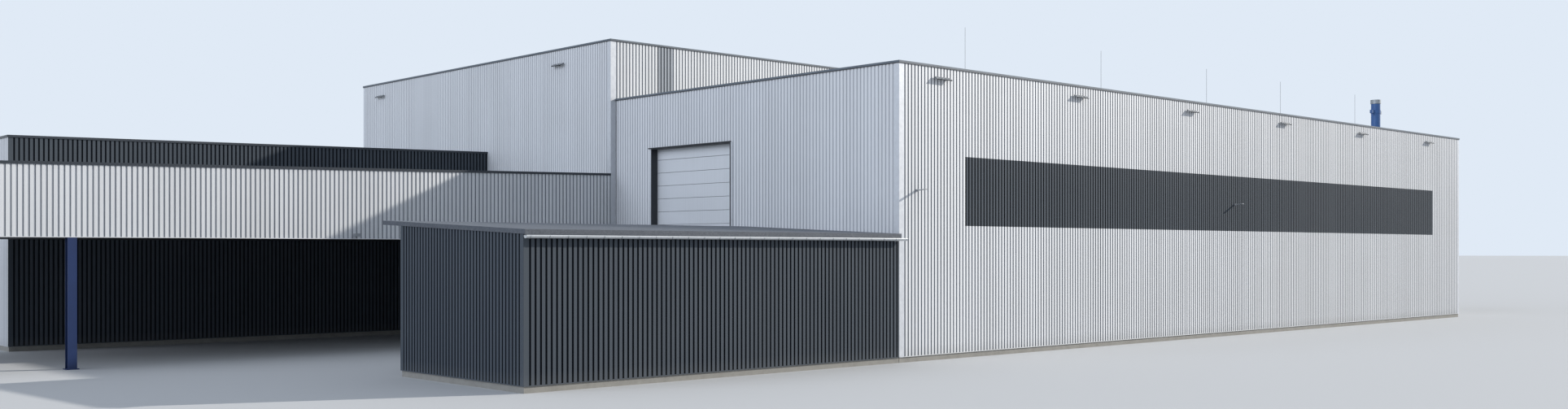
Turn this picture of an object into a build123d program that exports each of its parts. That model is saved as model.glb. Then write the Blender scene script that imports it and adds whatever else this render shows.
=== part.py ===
from build123d import *
import os

# Factory building with two joined halls, a lower dark hall, a loading canopy and a lean-to.
# It is a scale model at 1:10, in millimetres: 1 mm here is 10 mm on the building.
# X runs along the front, Y away from it and Z up. Places are given on the building's own
# grid, from the near corner of the long hall. The last lines move the origin to the middle
# of the plan, at ground level.

# Walls: a profiled sheet on liner trays, over a floor slab that shows as a low plinth
rib_depth = 4.0
wall_core = 16.0
wall = rib_depth + wall_core
plinth = 20.0
slab_joint = 2.0
piece_gap = 0.3
corner_leg = 27.0

# Long hall, at the front
hall_length = 5130.0
long_width = 1750.0
long_height = 1107.0

# Tall hall, behind the long one and one step further left
tall_width = 2480.0
tall_height = 1380.0
side_step = 30.0

# Dark hall, left of the tall hall, with a roof that falls to the left
dark_length = 2207.0
dark_front = 2830.0
dark_height = 919.0
dark_fall = 0.0175

# Loading canopy in front of the dark hall
canopy_length = 2870.0
canopy_clear = 456.0
canopy_height = 764.0
canopy_fall = 0.021
soffit_sheet = 4.0
column_line = 2265.0
column_size = 30.0
column_flange = 1.9
column_web = 1.1
base_plate = 42.0
base_sheet = 3.0

# Roof plates and folded caps on the parapets
parapet = 50.0
roof_plate = 30.0
cap_sheet = 2.0
cap_leg = 10.0
cap_gap = 1.0

# Dark band on the long front
band_start = 374.0
band_far_margin = 400.0
band_bottom = 505.0
band_top = 770.0

# Odd grey sheet on the tall hall's front
grey_start = 240.0
grey_width = 91.5

# Sectional door in the long hall's left face
door_start = 944.0
door_width = 539.0
door_head = 862.0
door_recess = 31.0
door_lining = 3.0
door_leaf_sheet = 4.0
door_panel = 57.5
door_top_panel = 49.0
door_groove = 0.6

# Lean-to at the front left, with a roof that rises to the back
lean_length = 1590.0
lean_depth = 740.0
lean_core = 6.0
lean_wall = rib_depth + lean_core
lean_eaves = 472.0
lean_rise = 0.044
lean_roof_sheet = 6.0
lean_rim = 14.0
lean_front_rim = 20.0
lean_rim_sheet = 2.0
lean_front_overhang = 12.0
lean_side_overhang = 3.0
lean_back_overhang = 118.0
gutter_radius = 8.5
gutter_sheet = 0.8
gutter_bead = 1.1
gutter_past_left = 4.0
gutter_past_corner = 15.0
gutter_z = 454.0
first_hook = 13.0
hook_spacing = 64.0
hook_width = 1.6
hook_sheet = 0.8

# Floodlights below the caps: three flat heads in a row that slope down and out like an awning
flood_spacing = 887.0
flood_first = 233.0
flood_count = 6
flood_below = 46.0
flood_reach = 5.0
flood_heads = 3
head_pitch = 30.0
head_length = 27.0
head_depth = 15.5
head_height = 3.5
head_tilt = 37.0
flood_bar = 3.0
tall_flood_below = 75.0
tall_flood_front = 418.0
tall_flood_back = 225.0

# Small lamps on the walls: flat heads on a box, and a short one under the canopy's edge
lamp_z = 633.0
lamp_first = 95.0
lamp_spacing = 2305.0
lamp_box = 8.0
lamp_length = 15.0
lamp_reach = 42.0
lamp_height = 3.0
lamp_tilt = 4.0
canopy_lamp_left = 1233.0
canopy_lamp_rise = 16.0
canopy_lamp_length = 22.0
canopy_lamp_reach = 16.0
canopy_lamp_height = 12.0

# Exhaust stack with a cap ring, a clamp and a slim mast
stack_from_end = 380.0
stack_y = 350.0
stack_radius = 27.0
stack_sheet = 2.0
stack_top = 1344.0
stack_cap_radius = 30.0
stack_cap_height = 25.0
clamp_z = 1259.0
clamp_radius = 29.0
clamp_height = 20.0
bracket_length = 38.0
bracket_width = 14.0
mast_offset = 54.0
mast_radius = 2.4
mast_arm = 4.0
mast_arm_z = (1110.0, 1217.0, 1312.0)
mast_box = 14.0

# Lightning rods behind the front parapet
rod_radius = 1.0
rod_length = 240.0
rod_foot_radius = 12.0
rod_foot_height = 8.0
rod_inset = 120.0
rod_places = (519.0, 1456.0, 2350.0, 3090.0, 3959.0)

# Places that follow from the sizes above
band_end = hall_length - band_far_margin
stack_x = hall_length - stack_from_end
tall_back = long_width + tall_width
tall_side = -side_step
dark_end = tall_side - dark_length
canopy_end = tall_side - canopy_length
inner_end = hall_length - wall
cap_out = cap_gap + cap_sheet
cap_reach = wall + cap_gap + cap_sheet


def upright(outline, y0, y1):
    """A piece parallel to the front: its (x, z) outline, drawn out from y0 to y1."""
    face = make_face(Polyline(*[(x, y0, z) for x, z in outline], close=True))
    return extrude(face, amount=y1 - y0, dir=(0, 1, 0))


def crosswise(outline, x0, x1):
    """A piece across the front: its (y, z) outline, drawn out from x0 to x1."""
    face = make_face(Polyline(*[(x0, y, z) for y, z in outline], close=True))
    return extrude(face, amount=x1 - x0, dir=(1, 0, 0))


def level(outline, z0, z1):
    """A piece with an (x, y) outline in plan, drawn out from z0 up to z1."""
    face = make_face(Polyline(*[(x, y, z0) for x, y in outline], close=True))
    return extrude(face, amount=z1 - z0, dir=(0, 0, 1))


def block(x0, x1, y0, y1, z0, z1):
    """A plain slab between two corners."""
    return level([(x0, y0), (x1, y0), (x1, y1), (x0, y1)], z0, z1)


def together(shapes):
    """Like pieces that share a file, as separate solids."""
    return Compound([solid for shape in shapes for solid in shape.solids()])


def sheet_top(x0, x1, bottom, top):
    """The (x, z) outline of a wall with a level foot and a top that may slope."""
    return [(x0, bottom), (x1, bottom), (x1, top(x1)), (x0, top(x0))]


def sloping_plate(x0, x1, top, thickness):
    """The (x, z) outline of a roof plate that follows a sloping top."""
    return [
        (x0, top(x0) - thickness),
        (x1, top(x1) - thickness),
        (x1, top(x1)),
        (x0, top(x0)),
    ]


def coping(start, end, inward, mitred=(True, True), tilt=0.0):
    """A folded cap over a wall, between two corners of its outer face, mitred where it turns.

    tilt is how much the cap rises inwards, on an end wall under a sloping roof.
    """
    start, end, inward = Vector(*start), Vector(*end), Vector(*inward)
    outer = -cap_out
    inner = cap_reach
    section = [
        (outer, 0),
        (inner, 0),
        (inner, -cap_leg),
        (inner - cap_sheet, -cap_leg),
        (inner - cap_sheet, -cap_sheet),
        (outer + cap_sheet, -cap_sheet),
        (outer + cap_sheet, -cap_leg),
        (outer, -cap_leg),
    ]
    path = end - start
    forward = path.normalized()
    first = start - forward * cap_out
    corners = [first + inward * across + Vector(0, 0, up + tilt * across) for across, up in section]
    face = make_face(Polyline(*corners, close=True))
    cap = extrude(face, amount=path.length + 2 * cap_out, dir=path)
    along = Vector(path.X, path.Y, 0).normalized()
    starts = [across + piece_gap if mitred[0] else 0 for across in (outer, inner)]
    ends = [across + piece_gap if mitred[1] else 0 for across in (outer, inner)]
    plan = [
        start + inward * outer + along * starts[0],
        end + inward * outer - along * ends[0],
        end + inward * inner - along * ends[1],
        start + inward * inner + along * starts[1],
    ]
    reach = level([(point.X, point.Y) for point in plan], 0, 2 * tall_height)
    return cap & reach


def corner_trim(x, y, to_x, to_y, bottom, top, leg_x=corner_leg, leg_y=corner_leg):
    """A smooth folded trim on an outer corner; to_x and to_y point along its two legs."""
    outline = [
        (x, y),
        (x + to_x * leg_x, y),
        (x + to_x * leg_x, y + to_y * rib_depth),
        (x + to_x * rib_depth, y + to_y * rib_depth),
        (x + to_x * rib_depth, y + to_y * leg_y),
        (x, y + to_y * leg_y),
    ]
    return level(outline, bottom, top)


def dark_top(x):
    """Top of the dark hall's caps, which falls to the left."""
    return dark_height + (x - tall_side) * dark_fall


def canopy_top(x):
    """Top of the canopy's caps, which falls to the left."""
    return canopy_height + (x - tall_side) * canopy_fall


def lowered(top, drop):
    """The same slope, a set drop lower."""
    return lambda x: top(x) - drop


pieces = {}

# Floor slabs, one for each part of the building, with joints between them
long_slab = block(rib_depth, hall_length - rib_depth, rib_depth, long_width - slab_joint, 0, plinth)
tall_slab = block(
    tall_side + rib_depth, hall_length - rib_depth, long_width, tall_back - rib_depth, 0, plinth
)
dark_slab = block(
    dark_end + rib_depth,
    tall_side + rib_depth - slab_joint,
    dark_front + rib_depth,
    tall_back - rib_depth,
    0,
    plinth,
)
lean_slab = block(
    -lean_length + rib_depth, rib_depth - slab_joint, rib_depth, lean_depth - rib_depth, 0, plinth
)
pieces["floor_slabs"] = together([long_slab, tall_slab, dark_slab, lean_slab])

# Long hall: walls behind the cladding
long_wall_top = long_height - cap_sheet
pieces["long_hall_front_wall"] = block(
    rib_depth, hall_length - rib_depth, rib_depth, wall, plinth, long_wall_top
)
door_end = door_start + door_width
doorway = block(-wall, 2 * wall, door_start, door_end, 0, door_head)
long_side = block(rib_depth, wall, wall, long_width, plinth, long_wall_top)
pieces["long_hall_side_wall"] = long_side - doorway
pieces["long_hall_end_wall"] = block(
    inner_end, hall_length - rib_depth, wall, long_width, plinth, long_wall_top
)

# Long hall: roof plate below the parapet
long_roof_top = long_height - parapet
pieces["long_hall_roof"] = block(
    wall, inner_end, wall, long_width, long_roof_top - roof_plate, long_roof_top
)

# Long hall: cladding on three sides, with the band and the doorway cut out
band_opening = block(band_start, band_end, 0, rib_depth, band_bottom, band_top)
long_front_cladding = block(
    corner_leg, hall_length - corner_leg, 0, rib_depth, plinth, long_wall_top
)
long_side_cladding = block(0, rib_depth, corner_leg, long_width, plinth, long_wall_top)
long_end_cladding = block(
    hall_length - rib_depth, hall_length, corner_leg, long_width, plinth, long_wall_top
)
pieces["long_hall_cladding"] = together(
    [long_front_cladding - band_opening, long_side_cladding - doorway, long_end_cladding]
)
pieces["facade_band"] = band_opening

# Long hall: caps on the parapet
long_cap_line = [
    (0, long_width, long_height),
    (0, 0, long_height),
    (hall_length, 0, long_height),
    (hall_length, long_width, long_height),
]
pieces["long_hall_caps"] = together(
    [
        coping(long_cap_line[0], long_cap_line[1], (1, 0, 0), mitred=(False, True)),
        coping(long_cap_line[1], long_cap_line[2], (0, 1, 0)),
        coping(long_cap_line[2], long_cap_line[3], (-1, 0, 0), mitred=(True, False)),
    ]
)

# Sectional door: a dark lining round the opening and the leaf behind it, with the joints
# between its panels counted down from the head
lining_outer = block(-door_lining, door_recess, door_start, door_end, plinth, door_head)
lining_inner = block(
    -door_lining,
    door_recess,
    door_start + door_lining,
    door_end - door_lining,
    plinth,
    door_head - door_lining,
)
pieces["door_lining"] = lining_outer - lining_inner
leaf = block(
    door_recess, door_recess + door_leaf_sheet, door_start, door_end, plinth, door_head
)
groove_z = door_head - door_top_panel
while groove_z > plinth + door_panel / 4:
    leaf -= block(
        door_recess,
        door_recess + door_groove,
        door_start,
        door_end,
        groove_z - door_groove / 2,
        groove_z + door_groove / 2,
    )
    groove_z -= door_panel
pieces["door_leaf"] = leaf

# Tall hall: walls behind the cladding
tall_wall_top = tall_height - cap_sheet
pieces["tall_hall_front_wall"] = block(
    tall_side + rib_depth,
    hall_length - rib_depth,
    long_width + rib_depth,
    long_width + wall,
    plinth,
    tall_wall_top,
)
pieces["tall_hall_side_wall"] = block(
    tall_side + rib_depth, tall_side + wall, long_width + wall, tall_back - wall, plinth, tall_wall_top
)
pieces["tall_hall_end_wall"] = block(
    inner_end, hall_length - rib_depth, long_width + wall, tall_back - wall, plinth, tall_wall_top
)
pieces["tall_hall_back_wall"] = block(
    tall_side + rib_depth,
    hall_length - rib_depth,
    tall_back - wall,
    tall_back - rib_depth,
    plinth,
    tall_wall_top,
)

# Tall hall: roof plate below the parapet
tall_roof_top = tall_height - parapet
pieces["tall_hall_roof"] = block(
    tall_side + wall,
    inner_end,
    long_width + wall,
    tall_back - wall,
    tall_roof_top - roof_plate,
    tall_roof_top,
)

# Tall hall: cladding, the front only from the long hall's roof up
tall_front_foot = long_roof_top - roof_plate
grey_sheet = block(
    grey_start, grey_start + grey_width, long_width, long_width + rib_depth, tall_front_foot, tall_wall_top
)
tall_front_cladding = block(
    0, hall_length - corner_leg, long_width, long_width + rib_depth, tall_front_foot, tall_wall_top
)
tall_side_cladding = block(
    tall_side,
    tall_side + rib_depth,
    long_width + corner_leg,
    tall_back - corner_leg,
    plinth,
    tall_wall_top,
)
tall_back_cladding = block(
    tall_side + corner_leg,
    hall_length - corner_leg,
    tall_back - rib_depth,
    tall_back,
    plinth,
    tall_wall_top,
)
tall_end_cladding = block(
    hall_length - rib_depth,
    hall_length,
    long_width + corner_leg,
    tall_back - corner_leg,
    plinth,
    tall_wall_top,
)
pieces["tall_hall_cladding"] = together(
    [
        tall_front_cladding - grey_sheet,
        tall_side_cladding,
        tall_back_cladding,
        tall_end_cladding,
    ]
)
pieces["grey_sheet"] = grey_sheet

# Tall hall: caps on the parapet
tall_corners = [
    (tall_side, long_width, tall_height),
    (hall_length, long_width, tall_height),
    (hall_length, tall_back, tall_height),
    (tall_side, tall_back, tall_height),
]
pieces["tall_hall_caps"] = together(
    [
        coping(tall_corners[0], tall_corners[1], (0, 1, 0)),
        coping(tall_corners[1], tall_corners[2], (-1, 0, 0)),
        coping(tall_corners[2], tall_corners[3], (0, -1, 0)),
        coping(tall_corners[3], tall_corners[0], (1, 0, 0)),
    ]
)

# Dark hall: walls, with tops that follow its falling roof
dark_wall_top = lowered(dark_top, cap_sheet)
dark_end_top = dark_wall_top(dark_end)
pieces["dark_hall_front_wall"] = upright(
    sheet_top(dark_end + rib_depth, tall_side, plinth, dark_wall_top),
    dark_front + rib_depth,
    dark_front + wall,
)
pieces["dark_hall_end_wall"] = upright(
    sheet_top(dark_end + rib_depth, dark_end + wall, plinth, dark_wall_top),
    dark_front + wall,
    tall_back - wall,
)
pieces["dark_hall_back_wall"] = upright(
    sheet_top(dark_end + rib_depth, tall_side, plinth, dark_wall_top),
    tall_back - wall,
    tall_back - rib_depth,
)
pieces["dark_hall_roof"] = upright(
    sloping_plate(dark_end + wall, tall_side, lowered(dark_top, parapet), roof_plate),
    dark_front + wall,
    tall_back - wall,
)

# Dark hall: dark cladding to the front as far as the corner, silver to the end and the back
pieces["dark_hall_front_cladding"] = upright(
    sheet_top(dark_end, tall_side, plinth, dark_wall_top),
    dark_front,
    dark_front + rib_depth,
)
dark_end_cladding = upright(
    sheet_top(dark_end, dark_end + rib_depth, plinth, dark_wall_top),
    dark_front + rib_depth,
    tall_back - corner_leg,
)
dark_back_cladding = upright(
    sheet_top(dark_end + corner_leg, tall_side, plinth, dark_wall_top),
    tall_back - rib_depth,
    tall_back,
)
pieces["dark_hall_end_cladding"] = together([dark_end_cladding, dark_back_cladding])

# Dark hall: caps on the parapet
dark_corners = [
    (tall_side, dark_front, dark_top(tall_side)),
    (dark_end, dark_front, dark_top(dark_end)),
    (dark_end, tall_back, dark_top(dark_end)),
    (tall_side, tall_back, dark_top(tall_side)),
]
pieces["dark_hall_caps"] = together(
    [
        coping(dark_corners[0], dark_corners[1], (0, 1, 0), mitred=(False, True)),
        coping(dark_corners[1], dark_corners[2], (1, 0, 0), tilt=dark_fall),
        coping(dark_corners[2], dark_corners[3], (0, -1, 0), mitred=(True, False)),
    ]
)

# Canopy: upstands that hang as a deep fascia round its open sides
canopy_wall_top = lowered(canopy_top, cap_sheet)
upstand_front = upright(
    sheet_top(canopy_end + rib_depth, tall_side, canopy_clear, canopy_wall_top),
    long_width + rib_depth,
    long_width + wall,
)
upstand_end = upright(
    sheet_top(canopy_end + rib_depth, canopy_end + wall, canopy_clear, canopy_wall_top),
    long_width + wall + piece_gap,
    dark_front - wall - piece_gap,
)
upstand_back = upright(
    sheet_top(canopy_end + rib_depth, dark_end, canopy_clear, canopy_wall_top),
    dark_front - wall,
    dark_front - rib_depth,
)
pieces["canopy_upstands"] = together([upstand_front, upstand_end, upstand_back])
fascia_front = upright(
    sheet_top(canopy_end + corner_leg, tall_side, canopy_clear, canopy_wall_top),
    long_width,
    long_width + rib_depth,
)
fascia_end = upright(
    sheet_top(canopy_end, canopy_end + rib_depth, canopy_clear, canopy_wall_top),
    long_width + corner_leg,
    dark_front - corner_leg,
)
fascia_back = upright(
    sheet_top(canopy_end + corner_leg, dark_end, canopy_clear, canopy_wall_top),
    dark_front - rib_depth,
    dark_front,
)
pieces["canopy_fascia"] = together([fascia_front, fascia_end, fascia_back])

# Canopy: roof plate and soffit, which reach back to the dark hall's front
def canopy_plate(outline_of):
    """A canopy plate, notched round the dark hall's corner."""
    main = upright(outline_of(canopy_end + wall, tall_side), long_width + wall, dark_front - wall)
    rear = upright(outline_of(dark_end, tall_side), dark_front - wall, dark_front)
    return main + rear


pieces["canopy_roof"] = canopy_plate(
    lambda x0, x1: sloping_plate(x0, x1, lowered(canopy_top, parapet), roof_plate)
)
pieces["canopy_soffit"] = canopy_plate(
    lambda x0, x1: sloping_plate(x0, x1, lambda x: canopy_clear + soffit_sheet, soffit_sheet)
)
canopy_corners = [
    (tall_side, long_width, canopy_top(tall_side)),
    (canopy_end, long_width, canopy_top(canopy_end)),
    (canopy_end, dark_front, canopy_top(canopy_end)),
    (dark_end, dark_front, canopy_top(dark_end)),
]
pieces["canopy_caps"] = together(
    [
        coping(canopy_corners[0], canopy_corners[1], (0, 1, 0), mitred=(False, True)),
        coping(canopy_corners[1], canopy_corners[2], (1, 0, 0), tilt=canopy_fall),
        coping(canopy_corners[2], canopy_corners[3], (0, -1, 0), mitred=(True, False)),
    ]
)


# Canopy: steel columns of H section under the upstands
def column(x, y):
    """An H-section column on its base plate, with its flanges along the front."""
    half = column_size / 2
    near = Rectangle(column_size, column_flange)
    section = Pos(0, half - column_flange / 2) * near + Pos(0, column_flange / 2 - half) * near
    section += Rectangle(column_web, column_size)
    post = extrude(section, amount=canopy_clear)
    plate = extrude(Rectangle(base_plate, base_plate), amount=base_sheet)
    return Pos(x, y, 0) * (post + plate)


front_line = long_width + wall / 2 + rib_depth
back_line = dark_front - wall / 2 - rib_depth
end_column = canopy_end + wall
pieces["canopy_columns"] = together(
    [
        column(end_column, front_line),
        column(end_column, back_line),
        column(tall_side - column_line, front_line),
        column(tall_side - base_plate, front_line),
    ]
)

# Smooth trims on the outer corners of the silver cladding
trims = [
    corner_trim(0, 0, 1, 1, plinth, long_wall_top),
    corner_trim(hall_length, 0, -1, 1, plinth, long_wall_top),
    corner_trim(tall_side, long_width, 1, 1, plinth, tall_wall_top, leg_x=side_step),
    corner_trim(tall_side, tall_back, 1, -1, plinth, tall_wall_top),
    corner_trim(hall_length, tall_back, -1, -1, plinth, tall_wall_top),
    corner_trim(hall_length, long_width, -1, 1, plinth, tall_wall_top),
    corner_trim(dark_end, tall_back, 1, -1, plinth, dark_end_top),
    corner_trim(canopy_end, long_width, 1, 1, canopy_clear, canopy_wall_top(canopy_end)),
    corner_trim(canopy_end, dark_front, 1, -1, canopy_clear, canopy_wall_top(canopy_end)),
]
pieces["corner_trims"] = together(trims)


# Lean-to: thin clad walls under a roof that rises to the back
def lean_top(y):
    """Top of the lean-to's roof at a place from front to back."""
    return lean_eaves + (y + lean_front_overhang) * lean_rise


def lean_under(y):
    """Underside of the lean-to's roof sheet."""
    return lean_top(y) - lean_roof_sheet


def lean_side(x0, x1, y0, y1):
    """A stretch of lean-to wall across the front, cut to the roof's slope."""
    return crosswise([(y0, plinth), (y1, plinth), (y1, lean_under(y1)), (y0, lean_under(y0))], x0, x1)


pieces["lean_to_front_wall"] = lean_side(-lean_length + rib_depth, 0, rib_depth, lean_wall)
pieces["lean_to_side_wall"] = lean_side(
    -lean_length + rib_depth, -lean_length + lean_wall, lean_wall, lean_depth - lean_wall
)
pieces["lean_to_back_wall"] = lean_side(
    -lean_length + rib_depth, 0, lean_depth - lean_wall, lean_depth - rib_depth
)
pieces["lean_to_cladding"] = together(
    [
        lean_side(-lean_length, 0, 0, rib_depth),
        lean_side(
            -lean_length, -lean_length + rib_depth, rib_depth + piece_gap, lean_depth - rib_depth - piece_gap
        ),
        lean_side(-lean_length, 0, lean_depth - rib_depth, lean_depth),
    ]
)

# Lean-to: roof plate with a sheet rim turned down on its three open edges, deeper at the front
lean_left = -lean_length - lean_side_overhang
lean_near = -lean_front_overhang
lean_far = lean_depth + lean_back_overhang


def lean_strip(x0, x1, y0, y1, depth):
    """A stretch of the lean-to's roof, as deep as its plate or its rim."""
    line = [(y0, lean_top(y0)), (y1, lean_top(y1))]
    return crosswise(line + [(y, z - depth) for y, z in reversed(line)], x0, x1)


pieces["lean_to_roof"] = (
    lean_strip(lean_left, 0, lean_near, lean_far, lean_roof_sheet)
    + lean_strip(lean_left, lean_left + lean_rim_sheet, lean_near, lean_far, lean_rim)
    + lean_strip(lean_left, 0, lean_near, lean_near + lean_rim_sheet, lean_front_rim)
    + lean_strip(lean_left, 0, lean_far - lean_rim_sheet, lean_far, lean_rim)
)

# Lean-to: half-round gutter with a rolled front edge, on hooks along the eaves
gutter_y = lean_near - gutter_radius - hook_sheet
gutter_left = lean_left - gutter_past_left
gutter_length = -gutter_left + gutter_past_corner


def half_ring(outer, inner):
    """The lower half of a ring or disc, in the plane across the gutter."""
    ring = Circle(outer) - Circle(inner) if inner else Circle(outer)
    lower = ring & Pos(0, -outer) * Rectangle(4 * outer, 2 * outer)
    return Plane((0, 0, 0), x_dir=(0, 1, 0), z_dir=(1, 0, 0)) * lower


gutter = extrude(half_ring(gutter_radius, gutter_radius - gutter_sheet), amount=gutter_length)
gutter_end = extrude(half_ring(gutter_radius, 0), amount=gutter_sheet)
gutter += gutter_end + Pos(gutter_length - gutter_sheet, 0, 0) * gutter_end
bead = Pos(gutter_length / 2, gutter_bead - gutter_radius, 0) * Rot(Y=90) * Cylinder(gutter_bead, gutter_length)
pieces["gutter"] = Pos(gutter_left, gutter_y, gutter_z) * (gutter + bead)

# Hooks reach from the roof's front edge round the gutter
hook_ring = extrude(half_ring(gutter_radius + hook_sheet, gutter_radius), amount=hook_width)
hook_count = int((gutter_length - first_hook) // hook_spacing) + 1
hooks = [
    Pos(gutter_left + first_hook + hook_spacing * index, gutter_y, gutter_z) * hook_ring
    for index in range(hook_count)
]
pieces["gutter_hooks"] = together(hooks)


# Floodlights: flat heads on a rail, held just off the wall by two brackets
def floodlight():
    """A floodlight that looks out and down along -Y from the origin on its wall."""
    rail_length = head_pitch * flood_heads
    rail_y = -flood_reach - flood_bar / 2
    light = Pos(0, rail_y, 0) * Box(rail_length, flood_bar, flood_bar)
    for side in (-1, 1):
        bracket = Box(flood_bar, flood_reach + flood_bar / 2, flood_bar)
        light += Pos(side * head_pitch, rail_y / 2, 0) * bracket
    for index in range(flood_heads):
        head = Pos(0, -head_depth / 2, 0) * Box(head_length, head_depth, head_height)
        x = (index - (flood_heads - 1) / 2) * head_pitch
        light += Pos(x, rail_y, 0) * Rot(X=head_tilt) * head
    return light


front_floods = [
    Pos(flood_first + flood_spacing * index, 0, long_height - flood_below) * floodlight()
    for index in range(flood_count)
]
side_floods = [
    Pos(tall_side, y, tall_height - tall_flood_below) * Rot(Z=-90) * floodlight()
    for y in (long_width + tall_flood_front, tall_back - tall_flood_back)
]
pieces["floodlights"] = together(front_floods + side_floods)


# Wall lamps: a flat head that stands out from a small box on the wall
def wall_lamp(length, reach, height, tilt):
    """A small lamp that stands out along -Y from the origin on its wall."""
    box = Pos(0, -lamp_box / 2, 0) * Box(lamp_box, lamp_box, lamp_box)
    head = Pos(0, -lamp_box / 2, 0) * Rot(X=-tilt) * Pos(0, -reach / 2, 0) * Box(length, reach, height)
    return box + head


lamps = [
    Pos(lamp_first + lamp_spacing * index, 0, lamp_z)
    * wall_lamp(lamp_length, lamp_reach, lamp_height, lamp_tilt)
    for index in range(2)
]
canopy_lamp = wall_lamp(canopy_lamp_length, canopy_lamp_reach, canopy_lamp_height, 0)
lamps.append(Pos(tall_side - canopy_lamp_left, long_width, canopy_clear + canopy_lamp_rise) * canopy_lamp)
pieces["wall_lamps"] = together(lamps)


# Exhaust stack: an open steel tube with a clamp and its bracket, under a cap ring
def tube(outer, inner, bottom, top):
    """An upright tube, or a solid cylinder where inner is 0."""
    height = top - bottom
    shape = Cylinder(outer, height) - Cylinder(inner, height) if inner else Cylinder(outer, height)
    return Pos(0, 0, (bottom + top) / 2) * shape


stack_place = Pos(stack_x, stack_y, 0)
cap_foot = stack_top - stack_cap_height
stack = tube(stack_radius, stack_radius - stack_sheet, long_roof_top, cap_foot)
stack += tube(clamp_radius, stack_radius - stack_sheet / 2, clamp_z, clamp_z + clamp_height)
bracket = Box(bracket_length, bracket_width, clamp_height)
stack += Pos(-clamp_radius - bracket_length / 2 + 1, 0, clamp_z + clamp_height / 2) * bracket
pieces["exhaust_stack"] = stack_place * stack
pieces["stack_cap"] = stack_place * tube(stack_cap_radius, stack_radius - stack_sheet, cap_foot, stack_top)

# Slim mast beside the stack: a pole with a small box, held to the tube by arms
mast = tube(mast_radius, 0, long_roof_top, stack_top)
for arm_z in mast_arm_z:
    mast += Pos(-mast_offset / 2, 0, arm_z) * Box(mast_offset, mast_arm, mast_arm)
mast -= Pos(-mast_offset, 0, 0) * tube(stack_radius, 0, long_roof_top, stack_top)
mast += Pos(mast_box / 2, 0, clamp_z + clamp_height / 2) * Box(mast_box, mast_box, clamp_height)
pieces["stack_mast"] = stack_place * Pos(mast_offset, 0, 0) * mast


# Lightning rods on small feet on the roofs
def lightning_rod(x, y, roof_z):
    """A thin rod on a round foot."""
    foot = tube(rod_foot_radius, 0, 0, rod_foot_height)
    return Pos(x, y, roof_z) * (foot + tube(rod_radius, 0, 0, rod_length))


rods = [lightning_rod(x, rod_inset, long_roof_top) for x in rod_places]
pieces["lightning_rods"] = together(rods)

# Each piece to its own file, with the origin in the middle of the plan at ground level
middle = together(pieces.values()).bounding_box().center()
to_origin = Pos(-middle.X, -middle.Y, 0)
os.makedirs("parts", exist_ok=True)
for name, piece in pieces.items():
    export_step(to_origin * piece, f"parts/{name}.step")
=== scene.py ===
# Factory building, scale model at 1:10: how each piece looks, in the order it is put up.
# Everything is in metres in the model's own frame.
import math

import bmesh
import bpy
from mathutils import Matrix, Vector


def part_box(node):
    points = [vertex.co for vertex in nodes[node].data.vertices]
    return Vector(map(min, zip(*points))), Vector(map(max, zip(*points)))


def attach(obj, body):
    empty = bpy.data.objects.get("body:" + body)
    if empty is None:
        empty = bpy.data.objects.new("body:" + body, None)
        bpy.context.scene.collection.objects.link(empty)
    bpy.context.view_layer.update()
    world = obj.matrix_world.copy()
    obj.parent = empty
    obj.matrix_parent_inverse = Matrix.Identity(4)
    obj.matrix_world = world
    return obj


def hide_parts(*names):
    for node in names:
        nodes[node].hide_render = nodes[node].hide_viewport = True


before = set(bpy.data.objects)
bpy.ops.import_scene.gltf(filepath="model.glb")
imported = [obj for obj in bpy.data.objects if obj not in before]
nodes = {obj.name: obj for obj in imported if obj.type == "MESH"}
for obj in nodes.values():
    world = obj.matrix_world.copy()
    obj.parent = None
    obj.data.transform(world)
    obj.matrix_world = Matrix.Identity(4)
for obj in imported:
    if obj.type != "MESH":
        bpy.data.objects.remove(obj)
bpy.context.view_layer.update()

# Camera: it stands in front of the lean-to at the left, 4 m over the ground on the real site,
# and is held level, with the lens shifted up to take in the roofs.
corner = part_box("long_hall_cladding")[0]
left_of_corner = 3.71
before_front = 3.38
eye_height = 0.41
camera = bpy.data.objects.new("camera", bpy.data.cameras.new("camera"))
bpy.context.collection.objects.link(camera)
bpy.context.scene.camera = camera
camera.location = (corner.x - left_of_corner, corner.y - before_front, eye_height)
camera.rotation_euler = (math.radians(90), 0, math.radians(-42.86))
camera.data.sensor_width = 36
camera.data.lens = 31.47
camera.data.shift_y = 0.0295
camera.data.clip_end = 400


# Long hall cladding: trapezoidal sheet, roll-formed from coil-coated steel, 27 mm deep with a
# pitch of 183 mm. It is screwed to spacers on the liner trays, its broad crests outwards, and
# each sheet covers five ribs.
rib_pitch = 0.0183
rib_crest = 0.0113
rib_flank = 0.0018
rib_depth = 0.0027
sheet_ribs = 5
sheet_gauge = 0.0002
drip_reach = 0.0006
drip_height = 0.0025
weld_within = 0.00001
cut_within = 0.000001
golden_ratio = 0.618
# Flanks turned away from this side, where the sun stands at the front right, get a darker finish: painted
# shade
lit_flank_side = Vector((0.6, -0.8, 0))


def rgb(code):
    """An sRGB hex value as a linear colour with alpha."""
    parts = [int(code[place : place + 2], 16) / 255 for place in (1, 3, 5)]
    linear = [part / 12.92 if part <= 0.04045 else ((part + 0.055) / 1.055) ** 2.4 for part in parts]
    return (*linear, 1.0)


def shade(colour, share):
    """An sRGB hex value as a linear colour, made darker or lighter by a share."""
    return tuple(min(1.0, part * (1 + share)) for part in rgb(colour)[:3]) + (1.0,)


def put(tree, kind, links=None, **settings):
    """Adds a node with its settings, and gives its sockets values or links."""
    node = tree.nodes.new(kind)
    for name, value in settings.items():
        setattr(node, name, value)
    for socket, value in (links or {}).items():
        if isinstance(value, bpy.types.NodeSocket):
            tree.links.new(value, node.inputs[socket])
        else:
            node.inputs[socket].default_value = value
    return node


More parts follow.
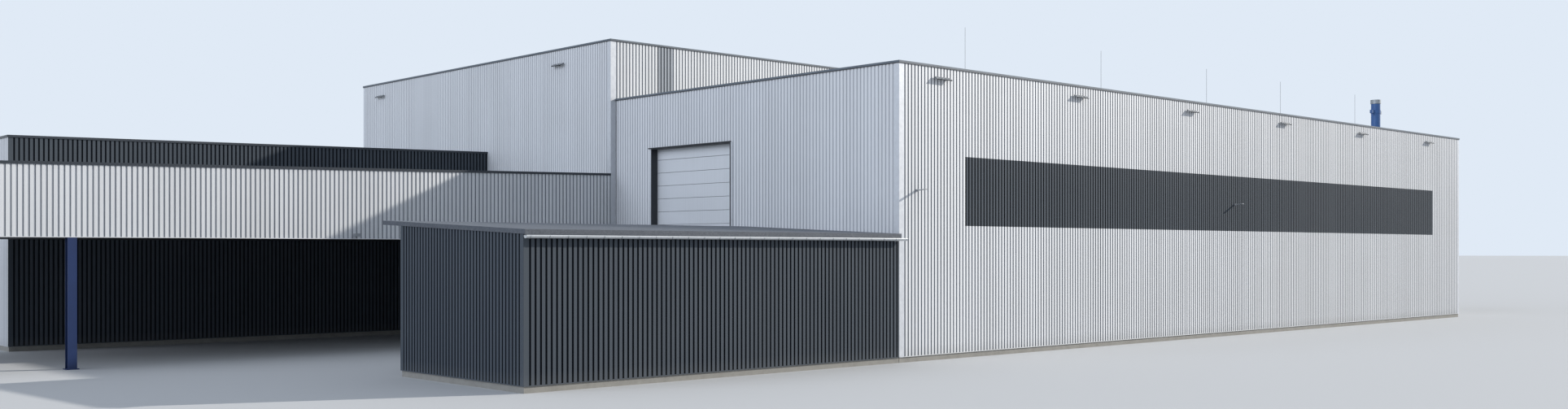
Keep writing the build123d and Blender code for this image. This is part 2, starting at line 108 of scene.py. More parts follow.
def new_finish(name):
    """An empty material, its node tree and the place on the piece that its patterns read."""
    finish = bpy.data.materials.new(name)
    finish.use_nodes = True
    tree = finish.node_tree
    tree.nodes.clear()
    place = put(tree, "ShaderNodeTexCoord").outputs["Object"]
    return finish, tree, place


def coated_sheet(
    name, colour, metallic=0.0, roughness=0.45, tone=0.03, streaks=0.1, dirt="#6F6F68", gloss=0.5
):
    """Coil-coated steel: a thin even film with metal flakes, rolled on before the sheet is formed.

    To the eye it is satin and even, each sheet a trace lighter or darker than the next, with
    faint grey rain streaks and a little splashed soil at its foot.
    """
    finish, tree, place = new_finish(name)
    coil = put(tree, "ShaderNodeAttribute", attribute_name="coil").outputs["Fac"]
    even = put(
        tree,
        "ShaderNodeMix",
        {"Factor": coil, 6: shade(colour, -tone), 7: shade(colour, tone)},
        data_type="RGBA",
    ).outputs[2]
    # Streaks 20 to 60 mm wide and metres long on the real wall
    drawn = put(tree, "ShaderNodeMapping", {"Vector": place, "Scale": (190, 190, 1.6)}).outputs[0]
    rain = put(
        tree, "ShaderNodeTexNoise", {"Vector": drawn, "Scale": 1.0, "Detail": 5.0, "Roughness": 0.62}
    ).outputs["Fac"]
    # Clouds of grime 3 to 5 m across
    cloud = put(tree, "ShaderNodeTexNoise", {"Vector": place, "Scale": 2.3, "Detail": 3.0}).outputs["Fac"]
    marks = put(tree, "ShaderNodeMath", {0: rain, 1: cloud}, operation="MULTIPLY").outputs[0]
    stain = put(
        tree,
        "ShaderNodeMapRange",
        {"Value": marks, "From Min": 0.2, "From Max": 0.42, "To Min": 0.0, "To Max": streaks},
    ).outputs[0]
    # Splashed soil fades out 600 mm above the ground
    height = put(tree, "ShaderNodeSeparateXYZ", {"Vector": place}).outputs["Z"]
    splash = put(
        tree,
        "ShaderNodeMapRange",
        {"Value": height, "From Min": 0.0, "From Max": 0.06, "To Min": 0.25, "To Max": 0.0},
    ).outputs[0]
    soiled = put(tree, "ShaderNodeMath", {0: stain, 1: splash}, operation="ADD", use_clamp=True).outputs[0]
    shown = put(
        tree, "ShaderNodeMix", {"Factor": soiled, 6: even, 7: rgb(dirt)}, data_type="RGBA"
    ).outputs[2]
    rough = put(
        tree,
        "ShaderNodeMapRange",
        {"Value": rain, "To Min": roughness - 0.05, "To Max": roughness + 0.06},
    ).outputs[0]
    # The thin sheet waves a little between the trays that hold it, which lie 0.6 m apart
    level = put(tree, "ShaderNodeMapping", {"Vector": place, "Scale": (3, 3, 14)}).outputs[0]
    wave = put(tree, "ShaderNodeTexNoise", {"Vector": level, "Scale": 1.0, "Detail": 1.0}).outputs["Fac"]
    bump = put(
        tree, "ShaderNodeBump", {"Height": wave, "Strength": 0.2, "Distance": 0.002}
    ).outputs[0]
    shader = put(
        tree,
        "ShaderNodeBsdfPrincipled",
        {
            "Base Color": shown,
            "Roughness": rough,
            "Normal": bump,
            "Metallic": metallic,
            "Specular IOR Level": gloss,
        },
    )
    put(tree, "ShaderNodeOutputMaterial", {"Surface": shader.outputs[0]})
    return finish


def draw_up(run, height):
    """Draws the edges of a flat outline up into faces."""
    drawn = bmesh.ops.extrude_edge_only(run, edges=run.edges[:])
    raised = [part for part in drawn["geom"] if isinstance(part, bmesh.types.BMVert)]
    bmesh.ops.translate(run, verts=raised, vec=(0, 0, height))


def trim_off(run, point, normal):
    """Cuts away what lies on the normal's side of a plane."""
    bmesh.ops.bisect_plane(
        run,
        geom=run.verts[:] + run.edges[:] + run.faces[:],
        plane_co=point,
        plane_no=normal,
        dist=cut_within,
        clear_outer=True,
    )


def add_to(whole, part):
    """Adds a finished part to a piece's mesh."""
    spare = bpy.data.meshes.new("spare")
    part.to_mesh(spare)
    part.free()
    whole.from_mesh(spare)
    bpy.data.meshes.remove(spare)


def slab_between(low, high):
    """A straight bar or plate that fills the space between two corners."""
    low, high = Vector(low), Vector(high)
    plate = bmesh.new()
    bmesh.ops.create_cube(plate, size=1)
    bmesh.ops.scale(plate, verts=plate.verts[:], vec=high - low)
    bmesh.ops.translate(plate, verts=plate.verts[:], vec=(low + high) / 2)
    return plate


def hang_sheet(wall, start, along, inward, spans, first_groove, cut=None, drip=True):
    """Adds one straight run of ribbed sheet to a wall.

    start is the outer corner that the ribs are counted from, and first_groove the distance
    from it at which the first groove begins. Each span is (from, to, foot, head) in metres
    from the corner. cut is a point and a normal of the plane of a sloping top. A drip profile
    closes the grooves along the lowest edge. Crests, grooves and the flanks turned away from
    the sun get the first, second and third finish of the piece: the darker grooves and flanks
    are painted shade.
    """
    start, along, inward = Vector((*start, 0)), Vector((*along, 0)), Vector((*inward, 0))
    turn = Matrix((along, inward, (0, 0, 1))).transposed().to_4x4()
    to_wall = Matrix.Translation(start) @ turn
    first_rib = first_groove - rib_crest
    lowest = min(span[2] for span in spans)
    for near, far, foot, head in spans:
        first = first_rib + math.floor((near - first_rib) / rib_pitch) * rib_pitch
        count = math.ceil((far - first) / rib_pitch)
        run = bmesh.new()
        profile = [
            (first, 0),
            (first + rib_crest, 0),
            (first + rib_crest + rib_flank, rib_depth),
            (first + rib_pitch - rib_flank, rib_depth),
            (first + rib_pitch, 0),
        ]
        bends = [run.verts.new((x, y, foot)) for x, y in profile]
        for left, right in zip(bends, bends[1:]):
            run.edges.new((left, right))
        if count > 1:
            bmesh.ops.spin(
                run,
                geom=run.verts[:] + run.edges[:],
                cent=(0, 0, 0),
                axis=(0, 0, 1),
                dvec=(rib_pitch, 0, 0),
                angle=0,
                steps=count - 1,
                use_duplicate=True,
            )
        bmesh.ops.remove_doubles(run, verts=run.verts[:], dist=weld_within)
        draw_up(run, head - foot)
        for place, side in ((near, -1), (far, 1)):
            trim_off(run, (place, 0, 0), (side, 0, 0))
        run.normal_update()
        if sum(face.normal.y for face in run.faces) > 0:
            bmesh.ops.reverse_faces(run, faces=run.faces[:])
        coil = run.faces.layers.float.new("coil")
        for face in run.faces:
            middle = face.calc_center_median()
            sheet = math.floor((middle.x - first_rib) / (sheet_ribs * rib_pitch))
            # The golden ratio spreads the sheets' tones without a visible order
            face[coil] = (sheet * golden_ratio) % 1.0
            # Faces below the crests take the second, darker finish: painted shade of the grooves
            is_crest = middle.y <= rib_depth * 0.1
            face.material_index = 0 if is_crest else 1
        bmesh.ops.transform(run, matrix=to_wall, verts=run.verts[:])
        if along.cross(inward).z < 0:
            bmesh.ops.reverse_faces(run, faces=run.faces[:])
        run.normal_update()
        for face in run.faces:
            # Flanks turned away from the sun take the third, darkest finish: painted shade
            is_flank = abs(face.normal.dot(along)) > 0.5
            if is_flank and face.normal.dot(lit_flank_side) < 0:
                face.material_index = 2
        if cut:
            trim_off(run, *cut)
        add_to(wall, run)
        if drip and foot == lowest:
            closer = slab_between((near, -drip_reach, foot), (far, rib_depth, foot + drip_height))
            bmesh.ops.transform(closer, matrix=to_wall, verts=closer.verts[:])
            bmesh.ops.recalc_face_normals(closer, faces=closer.faces[:])
            add_to(wall, closer)


def finish_piece(name, shape, finishes, slot, *stands_for):
    """Makes the object of a finished mesh, and puts it on the building."""
    mesh = bpy.data.meshes.new(name)
    shape.to_mesh(mesh)
    shape.free()
    piece = bpy.data.objects.new(name, mesh)
    bpy.context.collection.objects.link(piece)
    for finish in finishes:
        mesh.materials.append(finish)
    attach(piece, "root")
    if stands_for:
        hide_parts(*stands_for)
    return piece


def give_gauge(piece):
    """Gives a sheet its thickness, inwards from its outer face."""
    gauge = piece.modifiers.new("gauge", "SOLIDIFY")
    gauge.thickness = sheet_gauge
    gauge.offset = -1


# Each ribbed sheet has three finishes: the crests, darker grooves, and still darker flanks
# turned away from the sun. The grooves' and flanks' darker colours are painted shade.
silver = (
    coated_sheet(
        "white_aluminium_coil_coat", "#E6E8EB", metallic=0.15, roughness=0.5, streaks=0.06, gloss=0.2
    ),
    coated_sheet(
        "white_aluminium_grooves_painted_shade", "#D0D3D8", metallic=0.2, roughness=0.6, streaks=0.12, gloss=0.2
    ),
    coated_sheet("white_aluminium_flank_painted_shade", "#70767F", roughness=0.7, streaks=0.15, gloss=0.2),
)

# The silver sheet covers three sides, and is left open at the band and at the door. It starts
# behind the smooth corner trims, over the plinth.
low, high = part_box("long_hall_cladding")
band_low, band_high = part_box("facade_band")
door_low, door_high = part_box("door_lining")
corner_leg = 0.027
length = high.x - low.x
width = high.y - low.y
band_from, band_to = band_low.x - low.x, band_high.x - low.x
door_from, door_to = door_low.y - low.y, door_high.y - low.y
shape = bmesh.new()
hang_sheet(
    shape,
    (low.x, low.y),
    (1, 0),
    (0, 1),
    [
        (corner_leg, band_from, low.z, high.z),
        (band_from, band_to, low.z, band_low.z),
        (band_from, band_to, band_high.z, high.z),
        (band_to, length - corner_leg, low.z, high.z),
    ],
    corner_leg,
)
hang_sheet(
    shape,
    (low.x, low.y),
    (0, 1),
    (1, 0),
    [
        (corner_leg, door_from, low.z, high.z),
        (door_from, door_to, door_high.z, high.z),
        (door_to, width, low.z, high.z),
    ],
    corner_leg,
)
hang_sheet(
    shape, (high.x, low.y), (0, 1), (-1, 0), [(corner_leg, width, low.z, high.z)], corner_leg
)
cladding = finish_piece("long_hall_sheets", shape, silver, "silver_sheet", "long_hall_cladding")
give_gauge(cladding)

# Dark band on the long front: the same sheet in an anthracite coat, let in between the
# silver ones with its ribs in line with theirs.
anthracite = (
    coated_sheet("anthracite_coil_coat", "#50575F", roughness=0.6, dirt="#777B80", gloss=0.1),
    # The grooves and the flanks turned away from the sun are coloured darker: painted shade
    coated_sheet("anthracite_grooves_painted_shade", "#1A2029", roughness=0.7, streaks=0.04, gloss=0.1),
    coated_sheet("anthracite_flank_painted_shade", "#0C1118", roughness=0.8, streaks=0.04, gloss=0.1),
)
shape = bmesh.new()
hang_sheet(
    shape,
    (low.x, low.y),
    (1, 0),
    (0, 1),
    [(band_from, band_to, band_low.z, band_high.z)],
    corner_leg,
    drip=False,
)
band = finish_piece("facade_band_sheets", shape, anthracite, "dark_sheet", "facade_band")
give_gauge(band)

# Tall hall cladding: silver sheet on four sides, the front only above the long hall's roof.
# One sheet of the front was replaced by a greyer one.
low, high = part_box("tall_hall_cladding")
grey_low, grey_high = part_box("grey_sheet")
front_trim = 0.03
length = high.x - low.x
width = high.y - low.y
grey_from, grey_to = grey_low.x - low.x, grey_high.x - low.x
shape = bmesh.new()
hang_sheet(
    shape,
    (low.x, low.y),
    (1, 0),
    (0, 1),
    [
        (front_trim, grey_from, grey_low.z, high.z),
        (grey_to, length - corner_leg, grey_low.z, high.z),
    ],
    front_trim,
)
sides = [(corner_leg, width - corner_leg, low.z, high.z)]
hang_sheet(shape, (low.x, low.y), (0, 1), (1, 0), sides, corner_leg)
hang_sheet(shape, (high.x, low.y), (0, 1), (-1, 0), sides, corner_leg)
hang_sheet(
    shape,
    (low.x, high.y),
    (1, 0),
    (0, -1),
    [(corner_leg, length - corner_leg, low.z, high.z)],
    corner_leg,
)
cladding = finish_piece("tall_hall_sheets", shape, silver, "silver_sheet", "tall_hall_cladding")
give_gauge(cladding)
grey = (
    coated_sheet("mid_grey_coil_coat", "#9AA0A8", metallic=0.2, roughness=0.45),
    # The grooves and the flanks turned away from the sun are coloured darker: painted shade
    coated_sheet("mid_grey_grooves_painted_shade", "#7C828A", roughness=0.6),
    coated_sheet("mid_grey_flank_painted_shade", "#484D54", roughness=0.7, gloss=0.2),
)
shape = bmesh.new()
hang_sheet(
    shape,
    (low.x, low.y),
    (1, 0),
    (0, 1),
    [(grey_from, grey_to, grey_low.z, grey_high.z)],
    front_trim,
    drip=False,
)
odd_sheet = finish_piece("odd_sheet", shape, grey, "grey_sheet", "grey_sheet")
give_gauge(odd_sheet)

# Dark hall cladding: dark sheet to the front, silver to the end and the back, cut at the top
# to the roof's fall. A smooth dark trim closes the front's corner.
dark_fall = 0.0175
dark_trim = 0.0186


def corner_fold(wall, start, along, inward, leg, foot, head, cut=None):
    """Adds a smooth strip at the level of the crests, from a corner along one wall."""
    start, along, inward = Vector((*start, foot)), Vector((*along, 0)), Vector((*inward, 0))
    strip = bmesh.new()
    ends = [strip.verts.new(start), strip.verts.new(start + along * leg)]
    strip.edges.new(ends)
    draw_up(strip, head - foot)
    strip.normal_update()
    if strip.faces[:][0].normal.dot(inward) > 0:
        bmesh.ops.reverse_faces(strip, faces=strip.faces[:])
    if cut:
        trim_off(strip, *cut)
    add_to(wall, strip)


low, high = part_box("dark_hall_front_cladding")
front_cut = ((high.x, low.y, high.z), (-dark_fall, 0, 1))
dark_corner = (low.x, low.y)
reach = high.x - low.x
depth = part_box("dark_hall_end_cladding")[1].y - low.y
shape = bmesh.new()
corner_fold(shape, dark_corner, (1, 0), (0, 1), dark_trim, low.z, high.z, front_cut)
hang_sheet(
    shape, dark_corner, (1, 0), (0, 1), [(dark_trim, reach, low.z, high.z)], dark_trim, front_cut
)
front = finish_piece("dark_hall_front_sheets", shape, anthracite, "dark_sheet", "dark_hall_front_cladding")
give_gauge(front)
shape = bmesh.new()
hang_sheet(
    shape,
    dark_corner,
    (0, 1),
    (1, 0),
    [(0, depth - corner_leg, low.z, high.z)],
    rib_crest,
    front_cut,
)
hang_sheet(
    shape,
    (low.x, low.y + depth),
    (1, 0),
    (0, -1),
    [(corner_leg, reach, low.z, high.z)],
    corner_leg,
    front_cut,
)
end = finish_piece("dark_hall_end_sheets", shape, silver, "silver_sheet", "dark_hall_end_cladding")
give_gauge(end)

# Canopy fascia: silver sheet screwed round the upstands on three sides, with its top cut to
# the roof's fall and its foot left open like a skirt.
canopy_fall = 0.021
low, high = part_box("canopy_fascia")
top_cut = ((high.x, low.y, high.z), (-canopy_fall, 0, 1))
dark_end = dark_corner[0]
shape = bmesh.new()
hang_sheet(
    shape,
    (low.x, low.y),
    (1, 0),
    (0, 1),
    [(corner_leg, high.x - low.x, low.z, high.z)],
    corner_leg,
    top_cut,
)
hang_sheet(
    shape,
    (low.x, low.y),
    (0, 1),
    (1, 0),
    [(corner_leg, high.y - low.y - corner_leg, low.z, high.z)],
    corner_leg,
    top_cut,
)
hang_sheet(
    shape,
    (low.x, high.y),
    (1, 0),
    (0, -1),
    [(corner_leg, dark_end - low.x, low.z, high.z)],
    corner_leg,
    top_cut,
)
fascia = finish_piece("canopy_fascia_sheets", shape, silver, "silver_sheet", "canopy_fascia")
give_gauge(fascia)

# Lean-to cladding: dark sheet on three sides, cut to the roof's rise, with smooth dark trims
# folded round its two corners.
lean_rise = 0.044
low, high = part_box("lean_to_cladding")
length, width = high.x - low.x, high.y - low.y
rise_cut = ((low.x, high.y, high.z), (0, -lean_rise, 1))
shape = bmesh.new()
for fold_corner, along, inward in (
    ((low.x, low.y), (1, 0), (0, 1)),
    ((low.x, low.y), (0, 1), (1, 0)),
    ((low.x, high.y), (0, -1), (1, 0)),
    ((low.x, high.y), (1, 0), (0, -1)),
):
    corner_fold(shape, fold_corner, along, inward, dark_trim, low.z, high.z, rise_cut)
across = [(dark_trim, length, low.z, high.z)]
hang_sheet(shape, (low.x, low.y), (1, 0), (0, 1), across, dark_trim, rise_cut)
hang_sheet(
    shape,
    (low.x, low.y),
    (0, 1),
    (1, 0),
    [(dark_trim, width - dark_trim, low.z, high.z)],
    dark_trim,
    rise_cut,
)
hang_sheet(shape, (low.x, high.y), (1, 0), (0, -1), across, dark_trim, rise_cut)
lean = finish_piece("lean_to_sheets", shape, anthracite, "dark_sheet", "lean_to_cladding")
give_gauge(lean)


# Corner trims and parapet caps: folded from the same coated steel in lengths of 3 m, with a
# butt joint 10 mm wide between them.
trim_length = 0.3
trim_joint = 0.001


def folded_trim(name, colour, metallic=0.4, roughness=0.42, joint="#3A3E44", drip=0.0):
    """Coated flat sheet, folded on a press brake: smooth and satin, with a dark joint every 3 m.

    drip is the height under which a cap takes the dark joint colour: painted shade of a
    foot folded back to the wall, which is not modelled.
    """
    finish, tree, place = new_finish(name)
    axes = put(tree, "ShaderNodeSeparateXYZ", {"Vector": place}).outputs
    level = put(tree, "ShaderNodeMath", {0: axes["X"], 1: axes["Y"]}, operation="ADD").outputs[0]
    off_joint = put(
        tree, "ShaderNodeMath", {0: level, 1: trim_length / 2}, operation="PINGPONG"
    ).outputs[0]
    at_joint = put(
        tree, "ShaderNodeMath", {0: off_joint, 1: trim_joint / 2}, operation="LESS_THAN"
    ).outputs[0]
    # Below the drip height the cap takes the dark joint colour too: painted shade, beside the real joints
    in_painted_shade_band = put(tree, "ShaderNodeMath", {0: axes["Z"], 1: drip}, operation="LESS_THAN").outputs[0]
    darker = put(tree, "ShaderNodeMath", {0: at_joint, 1: in_painted_shade_band}, operation="MAXIMUM").outputs[0]
    # Water marks 100 to 300 mm across
    marks = put(
        tree, "ShaderNodeTexNoise", {"Vector": place, "Scale": 60.0, "Detail": 6.0, "Roughness": 0.6}
    ).outputs["Fac"]
    even = put(
        tree,
        "ShaderNodeMix",
        {"Factor": marks, 6: shade(colour, -0.14), 7: shade(colour, 0.1)},
        data_type="RGBA",
    ).outputs[2]
    shown = put(
        tree, "ShaderNodeMix", {"Factor": darker, 6: even, 7: rgb(joint)}, data_type="RGBA"
    ).outputs[2]
    rough = put(
        tree,
        "ShaderNodeMapRange",
        {"Value": marks, "To Min": roughness - 0.08, "To Max": roughness + 0.08},
    ).outputs[0]
    shader = put(
        tree,
        "ShaderNodeBsdfPrincipled",
        {"Base Color": shown, "Roughness": rough, "Metallic": metallic},
    )
    put(tree, "ShaderNodeOutputMaterial", {"Surface": shader.outputs[0]})
    return finish


def paint_node(name, finish):
    """Puts a finish on a piece that keeps its shape."""
    materials = nodes[name].data.materials
    materials.clear()
    materials.append(finish)


silver_trim = folded_trim("white_aluminium_trim", "#D3D6DB", metallic=0.4)
paint_node("corner_trims", silver_trim)
# The caps' lowest 33 mm on the real building are painted dark: painted shade of a turned-back foot
painted_shade_height = 0.0033
for name in ("long_hall_caps", "tall_hall_caps"):
    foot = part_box(name)[0].z
    cap_grey_with_painted_shade = folded_trim(f"grey_coat_with_painted_shade_of_{name}", "#69727C", metallic=0.1, drip=foot + painted_shade_height)
    paint_node(name, cap_grey_with_painted_shade)
cap_dark = folded_trim("anthracite_cap_coat", "#373D45", metallic=0.1)
for name in ("dark_hall_caps", "canopy_caps"):
    paint_node(name, cap_dark)

# Wall cores and upstands: galvanised liner trays with a pale primer, bolted to the frame and
# seen only at edges. Those of the dark walls and the canopy's soffit are coated dark.
liner = coated_sheet("liner_tray_primer", "#A9ACAF", roughness=0.5)
dark_liner = coated_sheet("anthracite_liner", "#24272C", roughness=0.6)
dark_backs = (
    "lean_to_front_wall",
    "lean_to_side_wall",
    "lean_to_back_wall",
    "dark_hall_front_wall",
    "canopy_soffit",
)
for name in nodes:
    if name in dark_backs:
        paint_node(name, dark_liner)
    elif name.endswith("_wall") or name == "canopy_upstands":
        paint_node(name, liner)

# Sectional door: a dark lining folded round the deep reveal, and a leaf of sandwich panels,
# foam between two coated sheets, that meet in fine joints. They are 575 mm high, and the top
# one is cut down to 490 mm.
dark_trim_coat = folded_trim("anthracite_trim", "#2A2E34", metallic=0.1, roughness=0.5)
paint_node("door_lining", dark_trim_coat)
door_grey = coated_sheet("door_panel_coat", "#E6E9ED", metallic=0.2, roughness=0.42, tone=0.0)
leaf_low, leaf_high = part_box("door_leaf")
panel_height = 0.0575
top_panel = 0.049
panel_gap = 0.0012
panel_edge = 0.001
shape = bmesh.new()
half_width = (leaf_high.y - leaf_low.y) / 2
panel_top = leaf_high.z
height = top_panel
while panel_top > leaf_low.z:
    panel_foot = max(panel_top - height, leaf_low.z)
    panel = slab_between(
        (leaf_low.x, leaf_low.y, panel_foot), (leaf_high.x, leaf_high.y, panel_top - panel_gap)
    )
    # The long edges are eased
    rims = [edge for edge in panel.edges if abs((edge.verts[0].co - edge.verts[1].co).y) > half_width]
    bmesh.ops.bevel(
        panel, geom=rims, offset=panel_edge, affect="EDGES", segments=2, profile=0.5, material=-1
    )
    add_to(shape, panel)
    panel_top = panel_foot
    height = panel_height
finish_piece("door_panels", shape, [door_grey], "door_panel", "door_leaf")

# Door trims: a folded flashing over the door's head, a little longer than the opening, and a
# smooth silver strip down each side, all riveted to the crests.
hall_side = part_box("long_hall_cladding")[0].x
head_reach = 0.005
head_height = 0.0045
head_past_near = 0.003
head_past_far = 0.019
strip_width = 0.014
strip_reach = 0.0008
shape = slab_between(
    (hall_side - head_reach, door_low.y - head_past_near, door_high.z),
    (hall_side, door_high.y + head_past_far, door_high.z + head_height),
)
finish_piece("door_flashing", shape, [dark_trim_coat], "dark_sheet")
shape = bmesh.new()
for edge in (door_low.y - strip_width, door_high.y):
    strip = slab_between(
        (hall_side - strip_reach, edge, door_low.z), (hall_side, edge + strip_width, door_high.z)
    )
    add_to(shape, strip)
finish_piece("door_side_strips", shape, [silver_trim], "silver_sheet")


# Floor slabs: concrete cast in place against boards, which leaves it grey and slightly
# blotched. Their edge shows as a low plinth under the sheets.
def cast_concrete():
    """Concrete struck from boards: matt, blotched over 300 mm and pitted by 5 to 15 mm air holes."""
    finish, tree, place = new_finish("cast_concrete")
    blotch = put(
        tree, "ShaderNodeTexNoise", {"Vector": place, "Scale": 30.0, "Detail": 8.0, "Roughness": 0.65}
    ).outputs["Fac"]
    shown = put(
        tree,
        "ShaderNodeMix",
        {"Factor": blotch, 6: rgb("#84827D"), 7: rgb("#ABA9A3")},
        data_type="RGBA",
    ).outputs[2]
    pits = put(tree, "ShaderNodeTexVoronoi", {"Vector": place, "Scale": 600.0}).outputs["Distance"]
    bump = put(
        tree, "ShaderNodeBump", {"Height": pits, "Strength": 0.3, "Distance": 0.0008}
    ).outputs[0]
    shader = put(
        tree,
        "ShaderNodeBsdfPrincipled",
        {"Base Color": shown, "Roughness": 0.85, "Normal": bump},
    )
    put(tree, "ShaderNodeOutputMaterial", {"Surface": shader.outputs[0]})
    return finish


paint_node("floor_slabs", cast_concrete())


# Roofs: a plastic membrane over the insulated deck, laid in strips 1.5 m wide, whose
# overlaps are welded with hot air over a width of 40 mm.
membrane_strip = 0.15
membrane_weld = 0.004


def welded_membrane():
    """Plastic roof membrane: matt pale grey, welded in strips, with dust where puddles dried."""
    finish, tree, place = new_finish("welded_roof_membrane")
    across = put(tree, "ShaderNodeSeparateXYZ", {"Vector": place}).outputs["X"]
    off_seam = put(
        tree, "ShaderNodeMath", {0: across, 1: membrane_strip / 2}, operation="PINGPONG"
    ).outputs[0]
    at_seam = put(
        tree, "ShaderNodeMath", {0: off_seam, 1: membrane_weld / 2}, operation="LESS_THAN"
    ).outputs[0]
    # Puddles 1 to 3 m across
    puddle = put(
        tree, "ShaderNodeTexNoise", {"Vector": place, "Scale": 5.0, "Detail": 7.0, "Roughness": 0.6}
    ).outputs["Fac"]
    dusty = put(
        tree,
        "ShaderNodeMapRange",
        {"Value": puddle, "From Min": 0.42, "From Max": 0.6},
    ).outputs[0]
    even = put(
        tree,
        "ShaderNodeMix",
        {"Factor": dusty, 6: rgb("#B0B4B7"), 7: rgb("#BABBB8")},
        data_type="RGBA",
    ).outputs[2]
    shown = put(
        tree, "ShaderNodeMix", {"Factor": at_seam, 6: even, 7: rgb("#999EA2")}, data_type="RGBA"
    ).outputs[2]
    bump = put(
        tree, "ShaderNodeBump", {"Height": at_seam, "Strength": 0.6, "Distance": 0.0004}
    ).outputs[0]
    shader = put(
        tree,
        "ShaderNodeBsdfPrincipled",
        {"Base Color": shown, "Roughness": 0.8, "Normal": bump},
    )
    put(tree, "ShaderNodeOutputMaterial", {"Surface": shader.outputs[0]})
    return finish


membrane = welded_membrane()
for name in ("long_hall_roof", "tall_hall_roof", "dark_hall_roof", "canopy_roof"):
    paint_node(name, membrane)


# Lean-to roof and gutter: titanium zinc, rolled thin and folded or formed to a half round. It
# has weathered dark on the roof, and is still bright on the gutter. Hooks, cap and mast are
# steel, dipped in molten zinc.
def bare_metal(name, dull, bright, speck, roughness, metallic):
    """Metal without a coat: crystals catch the light as small speckles, and weather dulls it."""
    finish, tree, place = new_finish(name)
    # Zinc crystals are 5 to 15 mm across. They are drawn some 30 mm across, to show
    crystal = put(tree, "ShaderNodeTexVoronoi", {"Vector": place, "Scale": speck}).outputs["Color"]
    value = put(tree, "ShaderNodeSeparateColor", {"Color": crystal}).outputs[0]
    weather = put(
        tree, "ShaderNodeTexNoise", {"Vector": place, "Scale": 14.0, "Detail": 6.0, "Roughness": 0.6}
    ).outputs["Fac"]
    mixed = put(tree, "ShaderNodeMath", {0: value, 1: weather}, operation="MULTIPLY").outputs[0]
    shown = put(
        tree, "ShaderNodeMix", {"Factor": mixed, 6: rgb(dull), 7: rgb(bright)}, data_type="RGBA"
    ).outputs[2]
    rough = put(
        tree,
        "ShaderNodeMapRange",
        {"Value": mixed, "To Min": roughness + 0.08, "To Max": roughness - 0.08},
    ).outputs[0]
    shader = put(
        tree,
        "ShaderNodeBsdfPrincipled",
        {"Base Color": shown, "Roughness": rough, "Metallic": metallic},
    )
    put(tree, "ShaderNodeOutputMaterial", {"Surface": shader.outputs[0]})
    return finish


paint_node("lean_to_roof", bare_metal("weathered_zinc", "#4C515A", "#6B7179", 330.0, 0.55, 0.2))
paint_node("gutter", bare_metal("bright_zinc", "#C3C7CB", "#E2E5E7", 330.0, 0.35, 0.7))
galvanised = bare_metal("hot_dip_galvanised", "#8A8F94", "#BFC3C6", 330.0, 0.42, 0.7)
for name in ("gutter_hooks", "stack_cap", "stack_mast"):
    paint_node(name, galvanised)


# Columns and stack: rolled steel of H section and a rolled steel tube, primed and then coated
# with a thick blue two-part paint from a roller.
def structural_paint(name, faded_blue, fresh_blue):
    """Thick two-part paint: satin, with the fine orange peel that a roller leaves."""
    finish, tree, place = new_finish(name)
    faded = put(
        tree, "ShaderNodeTexNoise", {"Vector": place, "Scale": 18.0, "Detail": 4.0}
    ).outputs["Fac"]
    shown = put(
        tree,
        "ShaderNodeMix",
        {"Factor": faded, 6: rgb(faded_blue), 7: rgb(fresh_blue)},
        data_type="RGBA",
    ).outputs[2]
    # Orange peel 3 mm across on the real steel is drawn 15 mm across
    peel = put(tree, "ShaderNodeTexNoise", {"Vector": place, "Scale": 700.0}).outputs["Fac"]
    bump = put(
        tree, "ShaderNodeBump", {"Height": peel, "Strength": 0.15, "Distance": 0.0003}
    ).outputs[0]
    shader = put(
        tree,
        "ShaderNodeBsdfPrincipled",
        {"Base Color": shown, "Roughness": 0.38, "Normal": bump},
    )
    put(tree, "ShaderNodeOutputMaterial", {"Surface": shader.outputs[0]})
    return finish


paint_node("exhaust_stack", structural_paint("faded_blue_two_part_paint", "#2B5288", "#3D69A6"))
# The columns stand out of the sun, and get a darker blue than the stack: painted shade
paint_node("canopy_columns", structural_paint("blue_two_part_paint_painted_shade", "#182A50", "#22396B"))

# Lightning rods: drawn aluminium on small feet on the roofs, bright when new and dull grey
# after a few winters.
paint_node("lightning_rods", bare_metal("drawn_aluminium", "#9A9DA0", "#BDBFC1", 900.0, 0.4, 0.8))


# Lamps: die-cast heads, the floodlights on a rail with two brackets and the small ones on a
# box, all screwed to the crests of the sheet.
def lamp_head(name, coat):
    """Powder coat on die-cast aluminium, and the toughened glass on its underside.

    The coat is satin and even. The glass is smooth, and near black while the lamp is off.
    """
    finish, tree, place = new_finish(name)
    facing = put(tree, "ShaderNodeNewGeometry").outputs["Normal"]
    upward = put(tree, "ShaderNodeSeparateXYZ", {"Vector": facing}).outputs["Z"]
    glass = put(tree, "ShaderNodeMath", {0: upward, 1: -0.6}, operation="LESS_THAN").outputs[0]
    # Dust 100 mm across dulls the coat
    dust = put(
        tree, "ShaderNodeTexNoise", {"Vector": place, "Scale": 100.0, "Detail": 3.0}
    ).outputs["Fac"]
    coated = put(
        tree,
        "ShaderNodeMix",
        {"Factor": dust, 6: shade(coat, -0.06), 7: shade(coat, 0.06)},
        data_type="RGBA",
    ).outputs[2]
    shown = put(
        tree, "ShaderNodeMix", {"Factor": glass, 6: coated, 7: rgb("#15181C")}, data_type="RGBA"
    ).outputs[2]
    rough = put(tree, "ShaderNodeMapRange", {"Value": glass, "To Min": 0.42, "To Max": 0.06}).outputs[0]
    shader = put(tree, "ShaderNodeBsdfPrincipled", {"Base Color": shown, "Roughness": rough})
    put(tree, "ShaderNodeOutputMaterial", {"Surface": shader.outputs[0]})
    return finish


paint_node("floodlights", lamp_head("floodlight_coat_and_glass", "#7F8388"))
paint_node("wall_lamps", lamp_head("wall_lamp_coat_and_glass", "#9A9EA3"))

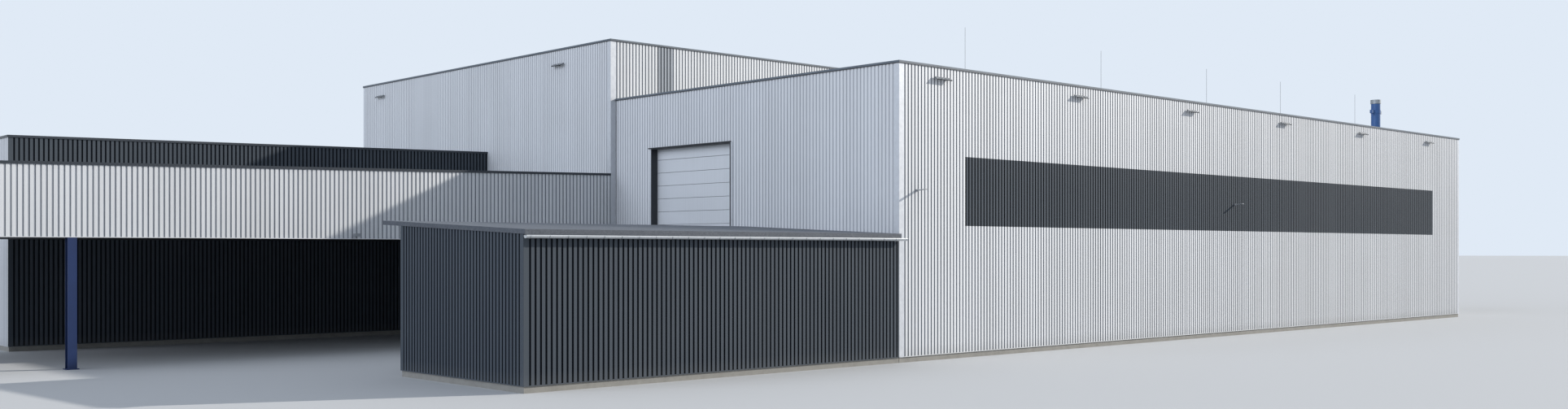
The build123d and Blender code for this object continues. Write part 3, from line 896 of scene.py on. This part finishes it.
# Studio: a pale floor, a low lamp from the right, a wide soft one from the left and even
# pale light all round.
floor_radius = 120
pale = bpy.data.materials.new("pale_floor")
pale.use_nodes = True
floor_coat = pale.node_tree.nodes["Principled BSDF"].inputs
floor_coat["Base Color"].default_value = rgb("#C6C8CA")
floor_coat["Roughness"].default_value = 0.9
shape = bmesh.new()
bmesh.ops.create_circle(shape, cap_ends=True, radius=floor_radius, segments=64)
mesh = bpy.data.meshes.new("floor")
shape.to_mesh(mesh)
shape.free()
floor = bpy.data.objects.new("floor", mesh)
bpy.context.collection.objects.link(floor)
mesh.materials.append(pale)


def far_lamp(name, strength, colour, spread, aim):
    """A lamp so far off that its light comes from one side, soft over a spread in degrees."""
    lamp = bpy.data.objects.new(name, bpy.data.lights.new(name, "SUN"))
    bpy.context.collection.objects.link(lamp)
    lamp.data.energy = strength
    lamp.data.color = rgb(colour)[:3]
    lamp.data.angle = math.radians(spread)
    lamp.rotation_euler = Vector(aim).to_track_quat("-Z", "Y").to_euler()


far_lamp("sun", 3.5, "#FFF9F0", 1, (-1, 0.46, -0.47))
far_lamp("fill", 1.15, "#E6EEFC", 40, (1, -0.15, -0.5))

world = bpy.data.worlds.new("studio")
bpy.context.scene.world = world
world.use_nodes = True
tree = world.node_tree
tree.nodes.clear()
rays = put(tree, "ShaderNodeLightPath").outputs
mirrored = put(
    tree,
    "ShaderNodeMath",
    {0: rays["Is Camera Ray"], 1: rays["Is Glossy Ray"]},
    operation="MAXIMUM",
).outputs[0]
seen = put(
    tree,
    "ShaderNodeMath",
    {0: mirrored, 1: rays["Is Transmission Ray"]},
    operation="MAXIMUM",
).outputs[0]
light = put(tree, "ShaderNodeBackground", {"Color": rgb("#DCE6F4"), "Strength": 0.53})
backdrop = put(tree, "ShaderNodeBackground", {"Color": rgb("#E0EAF6"), "Strength": 1.0})
either = put(
    tree,
    "ShaderNodeMixShader",
    {0: seen, 1: light.outputs[0], 2: backdrop.outputs[0]},
)
put(tree, "ShaderNodeOutputWorld", {"Surface": either.outputs[0]})
bpy.context.scene.view_settings.view_transform = "Standard"
